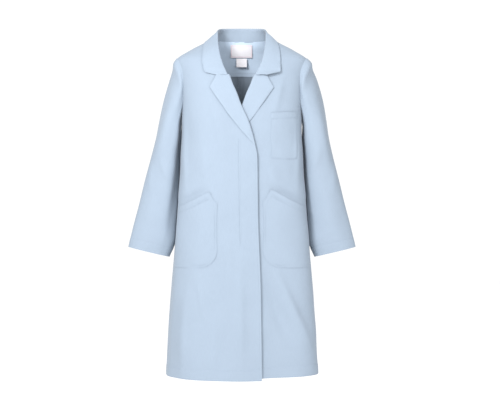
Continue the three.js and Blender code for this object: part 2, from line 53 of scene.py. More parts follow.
def cotton(name, colour, threads=1500.0, wrinkle=0.22):
    """Plain-woven cotton: fine threads, a colour that wanders a little, and the wrinkle of pressed cloth."""
    made = bpy.data.materials.new(name)
    made.use_nodes = True
    nodes, links = made.node_tree.nodes, made.node_tree.links
    shader = nodes["Principled BSDF"]
    shader.inputs["Roughness"].default_value = 0.86
    shader.inputs["Specular IOR Level"].default_value = 0.22
    shader.inputs["Sheen Weight"].default_value = 0.12
    shader.inputs["Sheen Roughness"].default_value = 0.45
    flat = nodes.new("ShaderNodeUVMap")
    flat.uv_map = "weave"
    ways = []
    for direction in ("X", "Y"):
        way = nodes.new("ShaderNodeTexWave")
        way.bands_direction = direction
        way.inputs["Scale"].default_value = threads / 6.283
        way.inputs["Distortion"].default_value = 0.6
        way.inputs["Detail"].default_value = 1.0
        links.new(flat.outputs["UV"], way.inputs["Vector"])
        ways.append(way)
    weave = nodes.new("ShaderNodeMath")
    weave.operation = "MULTIPLY"
    links.new(ways[0].outputs["Fac"], weave.inputs[0])
    links.new(ways[1].outputs["Fac"], weave.inputs[1])
    place = nodes.new("ShaderNodeTexCoord")
    clouds = nodes.new("ShaderNodeTexNoise")
    clouds.inputs["Scale"].default_value = 7.0
    clouds.inputs["Detail"].default_value = 5.0
    links.new(place.outputs["Object"], clouds.inputs["Vector"])
    slubs = nodes.new("ShaderNodeTexNoise")
    slubs.inputs["Scale"].default_value = 1.0
    slubs.inputs["Detail"].default_value = 3.0
    stretch = nodes.new("ShaderNodeMapping")
    stretch.inputs["Scale"].default_value = (900.0, 60.0, 1.0)
    links.new(flat.outputs["UV"], stretch.inputs["Vector"])
    links.new(stretch.outputs["Vector"], slubs.inputs["Vector"])
    tint = nodes.new("ShaderNodeMix")
    tint.data_type = "RGBA"
    tint.inputs["A"].default_value = (*[c * 0.955 for c in colour], 1)
    tint.inputs["B"].default_value = (*[min(1.0, c * 1.035) for c in colour], 1)
    links.new(clouds.outputs["Fac"], tint.inputs["Factor"])
    speck = nodes.new("ShaderNodeMix")
    speck.data_type = "RGBA"
    speck.blend_type = "MULTIPLY"
    speck.inputs["Factor"].default_value = 0.10
    links.new(tint.outputs["Result"], speck.inputs["A"])
    links.new(slubs.outputs["Fac"], speck.inputs["B"])
    links.new(speck.outputs["Result"], shader.inputs["Base Color"])
    creases = nodes.new("ShaderNodeTexNoise")
    creases.inputs["Scale"].default_value = 26.0
    creases.inputs["Detail"].default_value = 3.0
    creases.inputs["Roughness"].default_value = 0.45
    links.new(place.outputs["Object"], creases.inputs["Vector"])
    soft = nodes.new("ShaderNodeBump")
    soft.inputs["Strength"].default_value = wrinkle
    soft.inputs["Distance"].default_value = 0.004
    links.new(creases.outputs["Fac"], soft.inputs["Height"])
    fine = nodes.new("ShaderNodeBump")
    fine.inputs["Strength"].default_value = 0.25
    fine.inputs["Distance"].default_value = 0.0003
    links.new(weave.outputs["Value"], fine.inputs["Height"])
    links.new(soft.outputs["Normal"], fine.inputs["Normal"])
    links.new(fine.outputs["Normal"], shader.inputs["Normal"])
    return made


body_cloth = cotton("body_cotton", CLOTH_BLUE)
thread = cotton("thread", [c * 0.93 for c in CLOTH_BLUE], threads=4000.0, wrinkle=0.0)

# The filled-out coat from neck to hem, in millimetres: height, half width, depth forward and depth back.
MM = 0.001
HEM_Z = -1028
HEM_HALF = 233
SIDE_Y = -20
BODY = np.array([
    [20, 80, 22, 76],
    [0, 113, 36, 80],
    [-25, 160, 54, 92],
    [-58, 203, 72, 104],
    [-110, 196, 90, 112],
    [-170, 187, 98, 118],
    [-270, 184, 101, 119],
    [-400, 191, 97, 111],
    [-620, 206, 97, 113],
    [-860, 224, 100, 120],
    [HEM_Z, HEM_HALF, 103, 124],
], dtype=float)


def between(table, key):
    """The rows of a table at keys of its first column, on a smooth curve that never overshoots."""
    rows = np.asarray(table, dtype=float)
    rows = rows[np.argsort(rows[:, 0])]
    x, y = rows[:, 0], rows[:, 1:]
    gap = np.diff(x)
    slope = np.diff(y, axis=0) / gap[:, None]
    turn = np.zeros_like(y)
    turn[0], turn[-1] = slope[0], slope[-1]
    same = slope[:-1] * slope[1:] > 0
    steep = np.where(same, slope[:-1], 1.0)
    next_steep = np.where(same, slope[1:], 1.0)
    before, after = (2 * gap[1:] + gap[:-1])[:, None], (gap[1:] + 2 * gap[:-1])[:, None]
    turn[1:-1] = np.where(same, (before + after) / (before / steep + after / next_steep), 0.0)
    k = np.clip(np.asarray(key, dtype=float), x[0], x[-1])
    i = np.clip(np.searchsorted(x, k) - 1, 0, len(x) - 2)
    t = ((k - x[i]) / gap[i])[..., None]
    h = gap[i][..., None]
    rise = y[i] * (2 * t**3 - 3 * t**2 + 1) + y[i + 1] * (3 * t**2 - 2 * t**3)
    lean = h * turn[i] * (t**3 - 2 * t**2 + t) + h * turn[i + 1] * (t**3 - t**2)
    return np.moveaxis(rise + lean, -1, 0)


def ease(t):
    """From 0 to 1, slow at both ends."""
    t = np.clip(t, 0, 1)
    return t * t * (3 - 2 * t)


def turn_at(x, z, off=0.0):
    """How far round from the side seam a point lies, from 0 at the side to half a turn at the other side."""
    half = between(BODY, z)[0] + off
    share = np.clip(x / half, -1, 1)
    return np.arccos(np.clip(np.sign(share) * np.abs(share) ** 1.25, -1, 1))


def on_body(side, turn, z, is_front, off):
    """A point off the body, in millimetres. turn is 0 at the side seam of that side."""
    half, fore, aft = between(BODY, z)
    c, s = np.cos(turn), np.sin(np.clip(turn, 0, math.pi))
    x = (half + off) * np.sign(c) * np.abs(c) ** 0.8
    depth = -(fore + off) if is_front else aft + off
    return np.stack([side * x, SIDE_Y + depth * s**0.8, z + 0 * x], axis=-1)


def fold(x, z, start, end, near, far, height):
    """A soft fold from start to end, falling away over near on its left and over far on its right."""
    (x0, z0), (x1, z1) = start, end
    long = math.hypot(x1 - x0, z1 - z0)
    t = ((x - x0) * (x1 - x0) + (z - z0) * (z1 - z0)) / long**2
    across = ((x - x0) * (z0 - z1) + (z - z0) * (x1 - x0)) / long
    width = np.where(across < 0, near, far)
    swell = np.sin(math.pi * np.clip(t, 0, 1)) ** 1.3
    return height * np.exp(-((across / width) ** 2)) * swell


def normals_of(grid, ring):
    """The way off the cloth at each point of a grid. A ring's last column meets its first."""
    if ring:
        along = np.roll(grid, -1, 1) - np.roll(grid, 1, 1)
    else:
        along = np.gradient(grid, axis=1)
    down = np.gradient(grid, axis=0)
    n = np.cross(down, along)
    return n / np.maximum(np.linalg.norm(n, axis=-1, keepdims=True), 1e-9)


def sheet_parts(grid, thick, ring=False, holes=None, out=None, marks=None):
    """A closed sheet of cloth whose outer face is the grid, rows down and columns across."""
    if out is None:
        out = grid - np.array([0, SIDE_Y, 0])
        out = out * np.array([1, 1, 0])
    if np.sum(normals_of(grid, ring) * out) < 0:
        grid = grid[:, ::-1]
        holes = None if holes is None else holes[:, ::-1]
        marks = None if marks is None else marks[:, ::-1]
    rows, cols = grid.shape[:2]
    n = normals_of(grid, ring)
    points = np.concatenate([grid.reshape(-1, 3), (grid - n * thick).reshape(-1, 3)])
    across = np.linalg.norm(np.diff(grid, axis=1), axis=-1).mean(axis=0)
    down = np.linalg.norm(np.diff(grid, axis=0), axis=-1).mean(axis=1)
    u = np.tile(np.concatenate([[0], np.cumsum(across)]), (rows, 1))
    v = np.tile(np.concatenate([[0], np.cumsum(down)])[:, None], (1, cols))
    flat = np.stack([u, v], axis=-1).reshape(-1, 2)
    index = np.arange(rows * cols).reshape(rows, cols)
    if ring:
        index = np.concatenate([index, index[:, :1]], axis=1)
    a, b = index[:-1, :-1], index[1:, :-1]
    c, d = index[1:, 1:], index[:-1, 1:]
    kept = np.ones(a.shape, dtype=bool) if holes is None else ~holes
    outer = np.stack([a, b, c, d], axis=-1)[kept]
    slots = np.zeros(a.shape, dtype=int) if marks is None else marks
    slots = slots[kept]
    back = rows * cols
    inner = outer[:, ::-1] + back
    edges = np.concatenate([outer[:, [0, 1]], outer[:, [1, 2]], outer[:, [2, 3]], outer[:, [3, 0]]])
    pairs = {(int(p), int(q)) for p, q in edges}
    rim = np.array([(q, p, p + back, q + back) for p, q in sorted(pairs) if (q, p) not in pairs])
    faces = np.concatenate([outer, inner, rim])
    slots = np.concatenate([slots, slots, np.zeros(len(rim), dtype=int)])
    smooth = np.arange(len(faces)) < len(faces) - len(rim)
    return points, faces, slots, np.concatenate([flat, flat]), smooth


def stitches(line, lift, pitch=3.4, length=2.3, wide=0.42):
    """A row of machine stitches along a line of points. lift is the way off the cloth at each point."""
    step = np.linalg.norm(np.diff(line, axis=0), axis=-1)
    run = np.concatenate([[0], np.cumsum(step)])
    count = max(int(run[-1] / pitch), 1)
    starts = (np.arange(count) + 0.2) * run[-1] / count
    corners = []
    for end in (0.0, length):
        p = np.stack([np.interp(starts + end, run, line[:, k]) for k in range(3)], axis=-1)
        n = np.stack([np.interp(starts + end, run, lift[:, k]) for k in range(3)], axis=-1)
        n = n / np.linalg.norm(n, axis=-1, keepdims=True)
        ahead = np.stack([np.interp(starts + end + 0.5, run, line[:, k]) for k in range(3)], axis=-1)
        behind = np.stack([np.interp(starts + end - 0.5, run, line[:, k]) for k in range(3)], axis=-1)
        side = np.cross(ahead - behind, n)
        side = side / np.maximum(np.linalg.norm(side, axis=-1, keepdims=True), 1e-9) * wide / 2
        corners += [p - side - n * 0.3, p + side - n * 0.3]
        corners += [p + side * 0.5 + n * 0.2, p - side * 0.5 + n * 0.2]
    points = np.stack(corners, axis=1).reshape(-1, 3)
    box = np.array([[0, 3, 2, 1], [4, 5, 6, 7], [0, 1, 5, 4], [1, 2, 6, 5], [2, 3, 7, 6], [3, 0, 4, 7]])
    faces = (np.arange(count)[:, None, None] * 8 + box[None]).reshape(-1, 4)
    return points, faces, np.full(len(faces), 1), points[:, [0, 2]], np.zeros(len(faces), dtype=bool)


def sewn(name, parts, materials):
    """One piece of the coat, from its cloth and its stitches, in millimetres."""
    points, faces, slots, flat, smooth = [], [], [], [], []
    total = 0
    for part in parts:
        points.append(part[0])
        faces.append(part[1] + total)
        slots.append(part[2])
        flat.append(part[3])
        smooth.append(part[4])
        total += len(part[0])
    points, faces = np.concatenate(points) * MM, np.concatenate(faces)
    slots, flat = np.concatenate(slots), np.concatenate(flat) * MM
    mesh = bpy.data.meshes.new(name)
    mesh.from_pydata(points.tolist(), [], faces.tolist())
    mesh.polygons.foreach_set("material_index", slots.astype(np.int32))
    mesh.polygons.foreach_set("use_smooth", np.concatenate(smooth))
    layer = mesh.uv_layers.new(name="weave")
    layer.data.foreach_set("uv", flat[faces.reshape(-1)].reshape(-1))
    for material in materials:
        mesh.materials.append(material)
    mesh.update()
    loop_edges = np.zeros(len(mesh.loops), dtype=np.int32)
    mesh.loops.foreach_get("edge_index", loop_edges)
    sharp = np.zeros(len(mesh.edges), dtype=bool)
    sharp[loop_edges.reshape(-1, 4)[~np.concatenate(smooth)]] = True
    mesh.edges.foreach_set("use_edge_sharp", sharp)
    piece = bpy.data.objects.new(name, mesh)
    bpy.context.scene.collection.objects.link(piece)
    return piece


CLOTH_THICK = 1.1
HEM_TURN = 30
ARMHOLE_TOP = -48
UNDERARM = -240
ARMHOLE_BACK = [[-45, 201], [-70, 189], [-100, 178], [-140, 173], [-185, 175], [-215, 181], [-240, 190]]


def spread(*runs):
    """Places along a line: each run is (start, end, number of steps)."""
    return np.unique(np.concatenate([np.linspace(a, b, n + 1) for a, b, n in runs]))


HEM_LINE = HEM_Z + HEM_TURN
ROWS = spread((8, -60, 16), (-60, -330, 54), (-330, HEM_LINE + 4, 128), (HEM_LINE + 4, HEM_LINE - 2, 6),
              (HEM_LINE - 2, HEM_Z + 2, 6), (HEM_Z + 2, HEM_Z, 2))[::-1]


def panel_edge(armhole, z):
    """The half width to the side seam, or to the armhole between its top and its underarm."""
    half = between(BODY, z)[0]
    arm = between(armhole, z)[0]
    return np.where((z < ARMHOLE_TOP) & (z > UNDERARM), np.minimum(arm, half * 0.9995), half)


def hem_thick(z):
    """The turned-up hem is two layers more, so it stands a little proud below its stitching."""
    return 0.8 * ease((HEM_LINE + 1.5 - z) / 3) - 0.5 * ease((HEM_Z + 2.5 - z) / 2.5)


def hem_rise(side, x, z):
    """The hem lifts a little towards the side seams, more on the wearer's left."""
    return (11 if side > 0 else 5) * (np.abs(x) / HEM_HALF) ** 1.6 * ease((-z - 760) / 260)


def back_off(side, x, z):
    """How far the back stands off the body, with its flutes and the seam down its middle."""
    grow = ease((-z - 250) / 700)
    flutes = np.sin(x / 24 + 0.7 * side) * 2.6 + np.sin(x / 41 + 2.1) * 2.4
    seam = -1.3 * np.exp(-((x / 2.2) ** 2))
    pleat = 2.2 * np.exp(-(((x - 7) / 6) ** 2))
    drape = fold(x, z, (150, -200), (60, -420), 16, 26, 3.0)
    drape = drape + fold(x, z, (160, -330), (120, -620), 12, 20, 2.0)
    return flutes * grow + seam + pleat + drape + hem_thick(z)


for side, word in ((1, "left"), (-1, "right")):
    z = ROWS[:, None]
    outer_x = panel_edge(ARMHOLE_BACK, z)
    outer = turn_at(outer_x, z)
    share = spread((0, 0.006, 2), (0.006, 0.97, 54), (0.97, 1, 7))[None, :]
    turn = outer + (math.pi / 2 - outer) * share
    bare = on_body(side, turn, z, False, 0)
    off = back_off(side, np.abs(bare[..., 0]), z) * ease(turn / 0.12)
    off = off - 0.8 * np.exp(-(turn - outer) / 0.012)
    grid = on_body(side, turn, z, False, off)
    grid[..., 0] = side * np.maximum(side * grid[..., 0], 0.02)
    grid[..., 0] -= 12 * ease((z + 460) / 200) * np.exp(-((grid[..., 0] / 70) ** 2))
    grid[..., 2] += hem_rise(side, bare[..., 0], z)
    parts = [sheet_parts(grid, CLOTH_THICK)]
    hem_row = int(np.argmin(np.abs(ROWS - HEM_LINE)))
    out = grid[hem_row] * [1, 1, 0] - [0, SIDE_Y, 0]
    parts.append(stitches(grid[hem_row], out))
    piece = sewn(f"back_{word}", parts, [body_cloth, thread])
    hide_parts(f"back_panel_{word}")
    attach(piece, "torso")


# Fronts: two panels from the shoulders to the hem. The wearer's right one laps over the left.
# The lapel turns back from the front edge, and a double row of stitches marks the hidden button fly.
ARMHOLE_FRONT = [[-45, 201], [-70, 190], [-95, 182], [-140, 178], [-185, 179], [-215, 183], [-240, 190]]
FRONT_LINE = np.array([
    [21, -101], [-12, -94], [-60, -84], [-100, -62], [-118, -37], [-160, -18], [-200, -3],
    [-246, 18], [-319, 40], [-353, 46.5], [-530, 49], [-756, 57], [HEM_Z, 61],
], dtype=float)
FLY_FROM_EDGE = 56
FLY_END_Z = -640


def edge_x(z):
    """Where a front ends, measured towards its own side seam."""
    return -between(FRONT_LINE, z)[0]


def front_off(side, x, z):
    """How far a front stands off the body, with its folds. x runs towards its own side seam."""
    half = between(BODY, z)[0]
    lift = 9 * ease((half - np.abs(x)) / 90) if side < 0 else 0 * x
    grow = ease((-z - 330) / 620)
    if side < 0:
        flutes = np.sin(x / 23 + 1.9) * 1.5 + np.sin(x / 47 + 0.4) * 2.0
        drape = fold(x, z, (100, -120), (45, -360), 22, 14, 2.4)
        drape += fold(x, z, (135, -230), (70, -520), 14, 24, 2.0)
        drape += fold(x, z, (176, -180), (168, -500), 9, 12, 2.6)
        drape += fold(x, z, (36, -560), (34, -860), 9, 15, 2.6)
        drape += fold(x, z, (6, -640), (2, -1040), 15, 24, 3.2)
        drape += fold(x, z, (128, -700), (100, -880), 15, 9, 2.6)
        drape += fold(x, z, (166, -740), (180, -1060), 16, 26, 4.0)
        drape += fold(x, z, (70, -800), (88, -1070), 14, 20, 3.0)
    else:
        flutes = np.sin(x / 25 + 0.4) * 1.3 + np.sin(x / 43 + 2.6) * 1.8
        drape = fold(x, z, (92, -672), (222, -985), 24, 15, 6.0)
        drape -= fold(x, z, (62, -690), (176, -985), 22, 26, 4.2)
        drape += fold(x, z, (128, -96), (92, -250), 16, 12, 2.2)
        drape += fold(x, z, (60, -330), (120, -470), 12, 20, 1.8)
        drape += fold(x, z, (172, -200), (168, -480), 9, 12, 2.2)
        drape += fold(x, z, (-10, -640), (10, -1050), 18, 24, 3.0)
    ripple = 0.5 * np.sin(x / 17 + z / 29) * np.sin(z / 37 + 1.3) + 0.4 * np.sin(x / 31 - z / 23)
    near_edge = np.exp(-((x - edge_x(z)) / 14) ** 2)
    calm = 1 - 0.8 * near_edge * (z < -300)
    inwards, up = (9, 8) if side > 0 else (0, 0)
    dent = fold(x, z, (84 - inwards, -448 + up), (204, -502), 8, 12, 5.5)
    return lift + (flutes * grow * 1.3 + drape * 1.6 + ripple * 1.2 - dent) * calm + hem_thick(z)


def front_point(side, x, z, off):
    """A point off a front's outer face, at x towards its side seam."""
    x, z = np.broadcast_arrays(np.asarray(x, float), np.asarray(z, float))
    total = front_off(side, x, z) + off
    return on_body(side, turn_at(x, z, total), z, True, total)


def front_stitches(side, x, z, off=0.0):
    """A row of stitches on a front, or on a piece that stands off it."""
    line = front_point(side, x, z, off)
    lift = front_point(side, x, z, off + 1.0) - line
    return stitches(line, lift)


for side, word in ((1, "left"), (-1, "right")):
    z = ROWS[:, None]
    outer_x = panel_edge(ARMHOLE_FRONT, z)
    inner_x = np.minimum(edge_x(z), outer_x - 3)
    outer = turn_at(outer_x, z)
    steps = np.array([0, 0.7, 1.6, 3, 5, 8, 12, 17, 23, 29, 35, 41, 46, 50, 53, 54.6, 56.2, 57.8,
                      60, 64, 70.0])
    room = np.minimum(1.0, 0.5 * (outer_x - inner_x) / 70)
    near_x = inner_x + steps[None, :] * room
    near = turn_at(near_x, z, front_off(side, near_x, z))
    far_share = spread((0, 0.01, 2), (0.01, 0.99, 44), (0.99, 1, 1))[None, :-1]
    far = outer + (near[:, -1:] - outer) * far_share
    turn = np.concatenate([far, near[:, ::-1]], axis=1)
    bare_x = np.abs(on_body(1, turn, z, True, 0)[..., 0]) * np.sign(np.cos(turn))
    off = front_off(side, bare_x, z) * ease(turn / 0.10) - 0.8 * np.exp(-(turn - outer) / 0.012)
    fly = np.abs(bare_x - edge_x(np.minimum(z, -353)) - FLY_FROM_EDGE)
    stitched = (z < -300) & (z > FLY_END_Z)
    off = off - np.where(stitched & (side < 0), 0.5 * np.exp(-((fly / 2.2) ** 2)), 0)
    off = off - 0.5 * np.exp(-(np.abs(bare_x - inner_x) / 1.2)) * (z < -330)
    grid = on_body(side, turn, z, True, off)
    shorter = 6 * (1 - (bare_x / HEM_HALF) ** 2) * ease((-z - 760) / 260) if side > 0 else 0
    grid[..., 2] += hem_rise(side, bare_x, z) + shorter
    parts = [sheet_parts(grid, CLOTH_THICK)]
    hem_row = int(np.argmin(np.abs(ROWS - HEM_LINE)))
    out = grid[hem_row] * [1, 1, 0] - [0, SIDE_Y, 0]
    parts.append(stitches(grid[hem_row], out))
    if side < 0:
        down = np.linspace(-300, FLY_END_Z + 30, 90)
        sweep = np.linspace(0, math.pi / 2, 16)[1:]
        for inset in (0.0, 5.0):
            x = edge_x(np.minimum(down, -353)) + FLY_FROM_EDGE - inset
            z_turn = FLY_END_Z + 30 - (30 - inset) * np.sin(sweep)
            x_turn = edge_x(z_turn) + 12 + (FLY_FROM_EDGE - 12 - inset) * np.cos(sweep)
            x_all = np.concatenate([x, x_turn, edge_x(z_turn[-1:]) + 1.5])
            z_all = np.concatenate([down, z_turn, z_turn[-1:] - 2])
            parts.append(front_stitches(side, x_all, z_all))
    edge_z = np.linspace(-345, HEM_Z + 9, 160)
    parts.append(front_stitches(side, edge_x(edge_z) + 6, edge_z))
    piece = sewn(f"front_{word}", parts, [body_cloth, thread])
    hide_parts(f"{word}_front_upper", f"{word}_front_lower")
    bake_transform(piece)


# Front facings: a strip of the same cloth behind each front edge, from the end of the lapel to the hem.
# They show only when the fronts swing open. Their cloth is painted paler than the body cloth, painted light
# that lifts the shade inside the fronts and the neck.
FACING_WIDE = 62
FACING_THICK = 0.8
FACING_GAP = 1.1
# Facing cloth: the body blue painted 1.9 times paler, painted light against the shade where the facings, fly
# strip, under collar and neck facing sit.
facing_cloth_painted_light = cotton("facing_cotton_painted_light", [c * 1.9 for c in CLOTH_BLUE])
for side, word in ((1, "left"), (-1, "right")):
    z = spread((-335, HEM_Z + 10, 130))[::-1][:, None]
    x = edge_x(z) + spread((0.8, 3, 2), (3, FACING_WIDE - 3, 9), (FACING_WIDE - 3, FACING_WIDE, 2))[None, :]
    grid = front_point(side, x, z, -CLOTH_THICK - FACING_GAP - hem_thick(z))
    piece = sewn(f"facing_{word}", [sheet_parts(grid, FACING_THICK)], [facing_cloth_painted_light])
    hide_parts(f"{word}_front_facing")
    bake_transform(piece)


# Fly: a folded strip behind the right front with worked buttonholes, so that no button shows.
# Its stitching is the double line down the front.
BUTTON_X = 4
FLY_GAP = 0.6
BUTTON_Z = (-338, -410, -482, -554, -626)
z_stops = [(-352, -636, 70)]
z_stops += [(z + 10.5, z + 10.4, 1) for z in BUTTON_Z[1:]] + [(z - 10.5, z - 10.4, 1) for z in BUTTON_Z[1:]]
z = np.sort(spread(*z_stops))[::-1]
x_stops = spread((-38, -BUTTON_X - 2, 8), (-BUTTON_X - 2, -BUTTON_X + 2, 5), (-BUTTON_X + 2, 12, 5))
fly_off = -CLOTH_THICK - FACING_GAP - FACING_THICK - FLY_GAP
grid = front_point(-1, x_stops[None, :], z[:, None], fly_off)
middle_z = (z[:-1] + z[1:]) / 2
middle_x = (x_stops[:-1] + x_stops[1:]) / 2
in_slit = (np.abs(middle_z[:, None, None] - np.array(BUTTON_Z[1:])) < 10.3).any(axis=-1)
holes = in_slit & (np.abs(middle_x + BUTTON_X) < 0.5)[None, :]
parts = [sheet_parts(grid, FACING_THICK, holes=holes)]
for hole_z in BUTTON_Z[1:]:
    for beside in (-1.6, 1.6):
        line_z = np.linspace(hole_z + 11, hole_z - 11, 24)
        line = front_point(-1, -BUTTON_X + beside + 0 * line_z, line_z, fly_off - FACING_THICK)
        lift = front_point(-1, -BUTTON_X + beside + 0 * line_z, line_z, fly_off - FACING_THICK - 1) - line
        parts.append(stitches(line, lift, pitch=0.9, length=0.7, wide=2.2))
piece = sewn("fly_strip", parts, [facing_cloth_painted_light, thread])
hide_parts("right_fly_strip")
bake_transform(piece)


# Buttons: five moulded discs with a raised rim and four holes, sewn to the left front where the fly
# covers them. The thread through their holes isn't made.
BUTTON_RIM = [[5.6, 1.7], [6.6, 2.3], [7.8, 2.6], [8.7, 2.2], [9.0, 1.4], [8.6, 0.5], [7.4, 0.0]]
button_plastic = bpy.data.materials.new("button_plastic")
button_plastic.use_nodes = True
nodes, links = button_plastic.node_tree.nodes, button_plastic.node_tree.links
shader = nodes["Principled BSDF"]
shader.inputs["Roughness"].default_value = 0.32
shader.inputs["Coat Weight"].default_value = 0.2
swirl = nodes.new("ShaderNodeTexNoise")
swirl.inputs["Scale"].default_value = 180.0
swirl.inputs["Distortion"].default_value = 1.5
blush = nodes.new("ShaderNodeMix")
blush.data_type = "RGBA"
blush.inputs["A"].default_value = (0.30, 0.36, 0.44, 1)
blush.inputs["B"].default_value = (0.36, 0.42, 0.50, 1)
place = nodes.new("ShaderNodeTexCoord")
links.new(place.outputs["Object"], swirl.inputs["Vector"])
links.new(swirl.outputs["Fac"], blush.inputs["Factor"])
links.new(blush.outputs["Result"], shader.inputs["Base Color"])

for number, button_z in enumerate(BUTTON_Z, start=1):
    centre = front_point(1, np.array(BUTTON_X), np.array(button_z), 0.5) * MM
    rounds = 40
    angle = np.arange(rounds) * 2 * math.pi / rounds
    points, faces = [], []
    for radius, height in BUTTON_RIM:
        ring = np.stack([radius * np.cos(angle), 0 * angle - height, radius * np.sin(angle)], axis=-1)
        points.append(ring)
    rings = len(points)
    for k in range(rings - 1):
        for j in range(rounds):
            nxt = (j + 1) % rounds
            faces.append([k * rounds + j, k * rounds + nxt, (k + 1) * rounds + nxt, (k + 1) * rounds + j])
    faces.append(list(range(rounds))[::-1])
    faces.append([(rings - 1) * rounds + j for j in range(rounds)])
    mesh = bpy.data.meshes.new(f"button_{number}_disc")
    mesh.from_pydata((np.concatenate(points) * MM).tolist(), [], faces)
    mesh.materials.append(button_plastic)
    disc = bpy.data.objects.new(f"button_disc_{number}", mesh)
    bpy.context.scene.collection.objects.link(disc)
    cutters = []
    for across, up in ((1, 1), (1, -1), (-1, 1), (-1, -1)):
        bpy.ops.mesh.primitive_cylinder_add(vertices=16, radius=0.9 * MM, depth=0.02,
                                            rotation=(math.pi / 2, 0, 0),
                                            location=(across * 1.9 * MM, 0, up * 1.9 * MM))
        cutter = bpy.context.object
        cutters.append(cutter)
        cut = disc.modifiers.new("hole", "BOOLEAN")
        cut.operation = "DIFFERENCE"
        cut.object = cutter
    bpy.context.view_layer.update()
    solid = bpy.data.meshes.new_from_object(disc.evaluated_get(bpy.context.evaluated_depsgraph_get()))
    for cutter in cutters + [disc]:
        bpy.data.objects.remove(cutter)
    solid.transform(Matrix.Translation(centre.tolist()))
    piece = bpy.data.objects.new(f"button_{number}_disc", solid)
    bpy.context.scene.collection.objects.link(piece)
    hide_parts(f"button_{number}")
    if number == 1:
        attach(piece, "torso")
    else:
        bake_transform(piece)


# Lapels: the front facings turned back over the fronts, pressed but still rolled where they turn.
# The outer edge has a notch under the collar and a point, and ends at the first button.
collar_cloth = cotton("collar_cotton", [c * 1.03 for c in CLOTH_BLUE], wrinkle=0.15)
ROLL = np.array([
    [0, -39, -108.5], [0.03, -36, -115.5], [0.12, -28, -138], [0.23, -18, -160], [0.43, -3, -200],
    [0.66, 18, -246], [0.85, 32, -290], [1, 42, -325],
])
LAPEL_EDGE = np.array([
    [0, -76, -108], [0.03, -81, -119], [0.13, -96.5, -146.5], [0.16, -92, -153], [0.62, -39, -230],
    [0.81, 0, -279], [1, 40, -323],
])


def spline(keys, points, at):
    """A smooth curve through points that may be whole rows, at places along it."""
    keys, points = np.asarray(keys, float), np.asarray(points, float)
    slope = np.gradient(points, keys, axis=0)
    i = np.clip(np.searchsorted(keys, at, side="right") - 1, 0, len(keys) - 2)
    gap = keys[i + 1] - keys[i]
    t = ((at - keys[i]) / gap).reshape((-1,) + (1,) * (points.ndim - 1))
    h = gap.reshape(t.shape)
    rise = points[i] * (2 * t**3 - 3 * t**2 + 1) + points[i + 1] * (3 * t**2 - 2 * t**3)
    return rise + h * slope[i] * (t**3 - 2 * t**2 + t) + h * slope[i + 1] * (t**3 - t**2)


def straight(table, key):
    """Straight lines through the rows of a table, at keys of its first column."""
    rows = np.asarray(table, float)
    return [np.interp(key, rows[:, 0], rows[:, k]) for k in range(1, rows.shape[1])]


for side, word in ((1, "left"), (-1, "right")):
    t = spread((0, 0.03, 4), (0.03, 0.13, 8), (0.13, 0.16, 4), (0.16, 1, 60))
    roll_x, roll_z = between(ROLL, t)
    end_x, end_z = straight(LAPEL_EDGE, t)
    wide = np.hypot(end_x - roll_x, end_z - roll_z)
    small = np.minimum(1, wide / 26)
    slim = 0.25 + 0.75 * small
    height = 3.0 if side > 0 else 3.6
    runs = [9 * small, 1 * small, -2.2 * small, 0.8 * small, 8 * small, wide * 0.5, wide - 0.6 * small, wide]
    runs = [np.minimum(run, wide) for run in runs]
    offs = [-1.9, -1.6, 0.6, 3.0, height + 0.3, height, 2.6, 2.2]
    keys = [0, 0.16, 0.24, 0.32, 0.42, 0.7, 0.97, 1.0]
    places = spread((0, 0.16, 3), (0.16, 0.42, 16), (0.42, 0.97, 16), (0.97, 1, 3))
    run = spline(keys, np.stack(runs), places).T
    off = spline(keys, np.array(offs), places)[None, :] * slim[:, None]
    edge_lift = 2.2 * (1 - ease((t - 0.3) / 0.3)) if side > 0 else 2.4 * (1 - ease((t - 0.6) / 0.35))
    off = off + (edge_lift + 0 * t)[:, None] * ease((places - 0.55) / 0.45)[None, :]
    off = off - 1.8 * np.exp(-((t / 0.012) ** 2))[:, None] * ease((places - 0.3) / 0.1)[None, :]
    dir_x, dir_z = (end_x - roll_x) / np.maximum(wide, 1e-6), (end_z - roll_z) / np.maximum(wide, 1e-6)
    x = -(roll_x[:, None] + dir_x[:, None] * run)
    z = roll_z[:, None] + dir_z[:, None] * run
    wave = 0.5 * np.sin(z / 13 + x / 19) * (places > 0.45)[None, :]
    grid = front_point(side, x, z, off + wave)
    over = np.zeros(grid.shape)
    over[:, 20:] = grid[:, 20:] * [1, 1, 0] - [0, SIDE_Y, 0]
    parts = [sheet_parts(grid, CLOTH_THICK, out=over)]
    inset = np.maximum(wide - 5, wide * 0.6)
    keep = (t > 0.005) & (wide > 12)
    line_x = -(roll_x + dir_x * inset)[keep]
    line_z = (roll_z + dir_z * inset)[keep]
    line_off = np.interp((inset / wide)[keep], [0, 0.5, 1], [height + 0.3, height, 2.4]) * slim[keep]
    line_off = line_off + (edge_lift + 0 * t)[keep] * ease(((inset / wide)[keep] - 0.55) / 0.45)
    parts.append(front_stitches(side, line_x, line_z, line_off))
    piece = sewn(f"lapel_{word}", parts, [collar_cloth, thread])
    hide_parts(f"{word}_lapel")
    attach(piece, "torso")


# Hip pockets: patches sewn to the fronts and caught in the side seams, each with one round corner.
# The mouth slants up to a short cut corner, is hemmed with two rows of stitches, and gapes a little.
POCKET_MOUTH = np.array([[73, -497], [83, -487], [97, -462], [150, -487], [192, -504], [230, -522]], float)
POCKET_BOTTOM = -690
POCKET_ROUND = 56
POCKET_INNER = 73
POCKET_OUTER = 200.5
POCKET_WIDENS = 120
PATCH_THICK = 0.6


def pocket_gape(x, inwards, below):
    """How far the front of a hip pocket stands open, falling away below its mouth."""
    along = np.clip((x - 90 + inwards) / (105 + inwards), 0, 1)
    return 6.5 * np.sin(math.pi * along) ** 0.7 * np.exp(-below / 20)


def pocket_floor(x, inner):
    """The lower edge of a hip pocket, with its one round corner."""
    inwards = np.clip((inner + POCKET_ROUND - x) / POCKET_ROUND, 0, 1)
    return POCKET_BOTTOM + POCKET_ROUND * (1 - np.sqrt(1 - inwards**2))


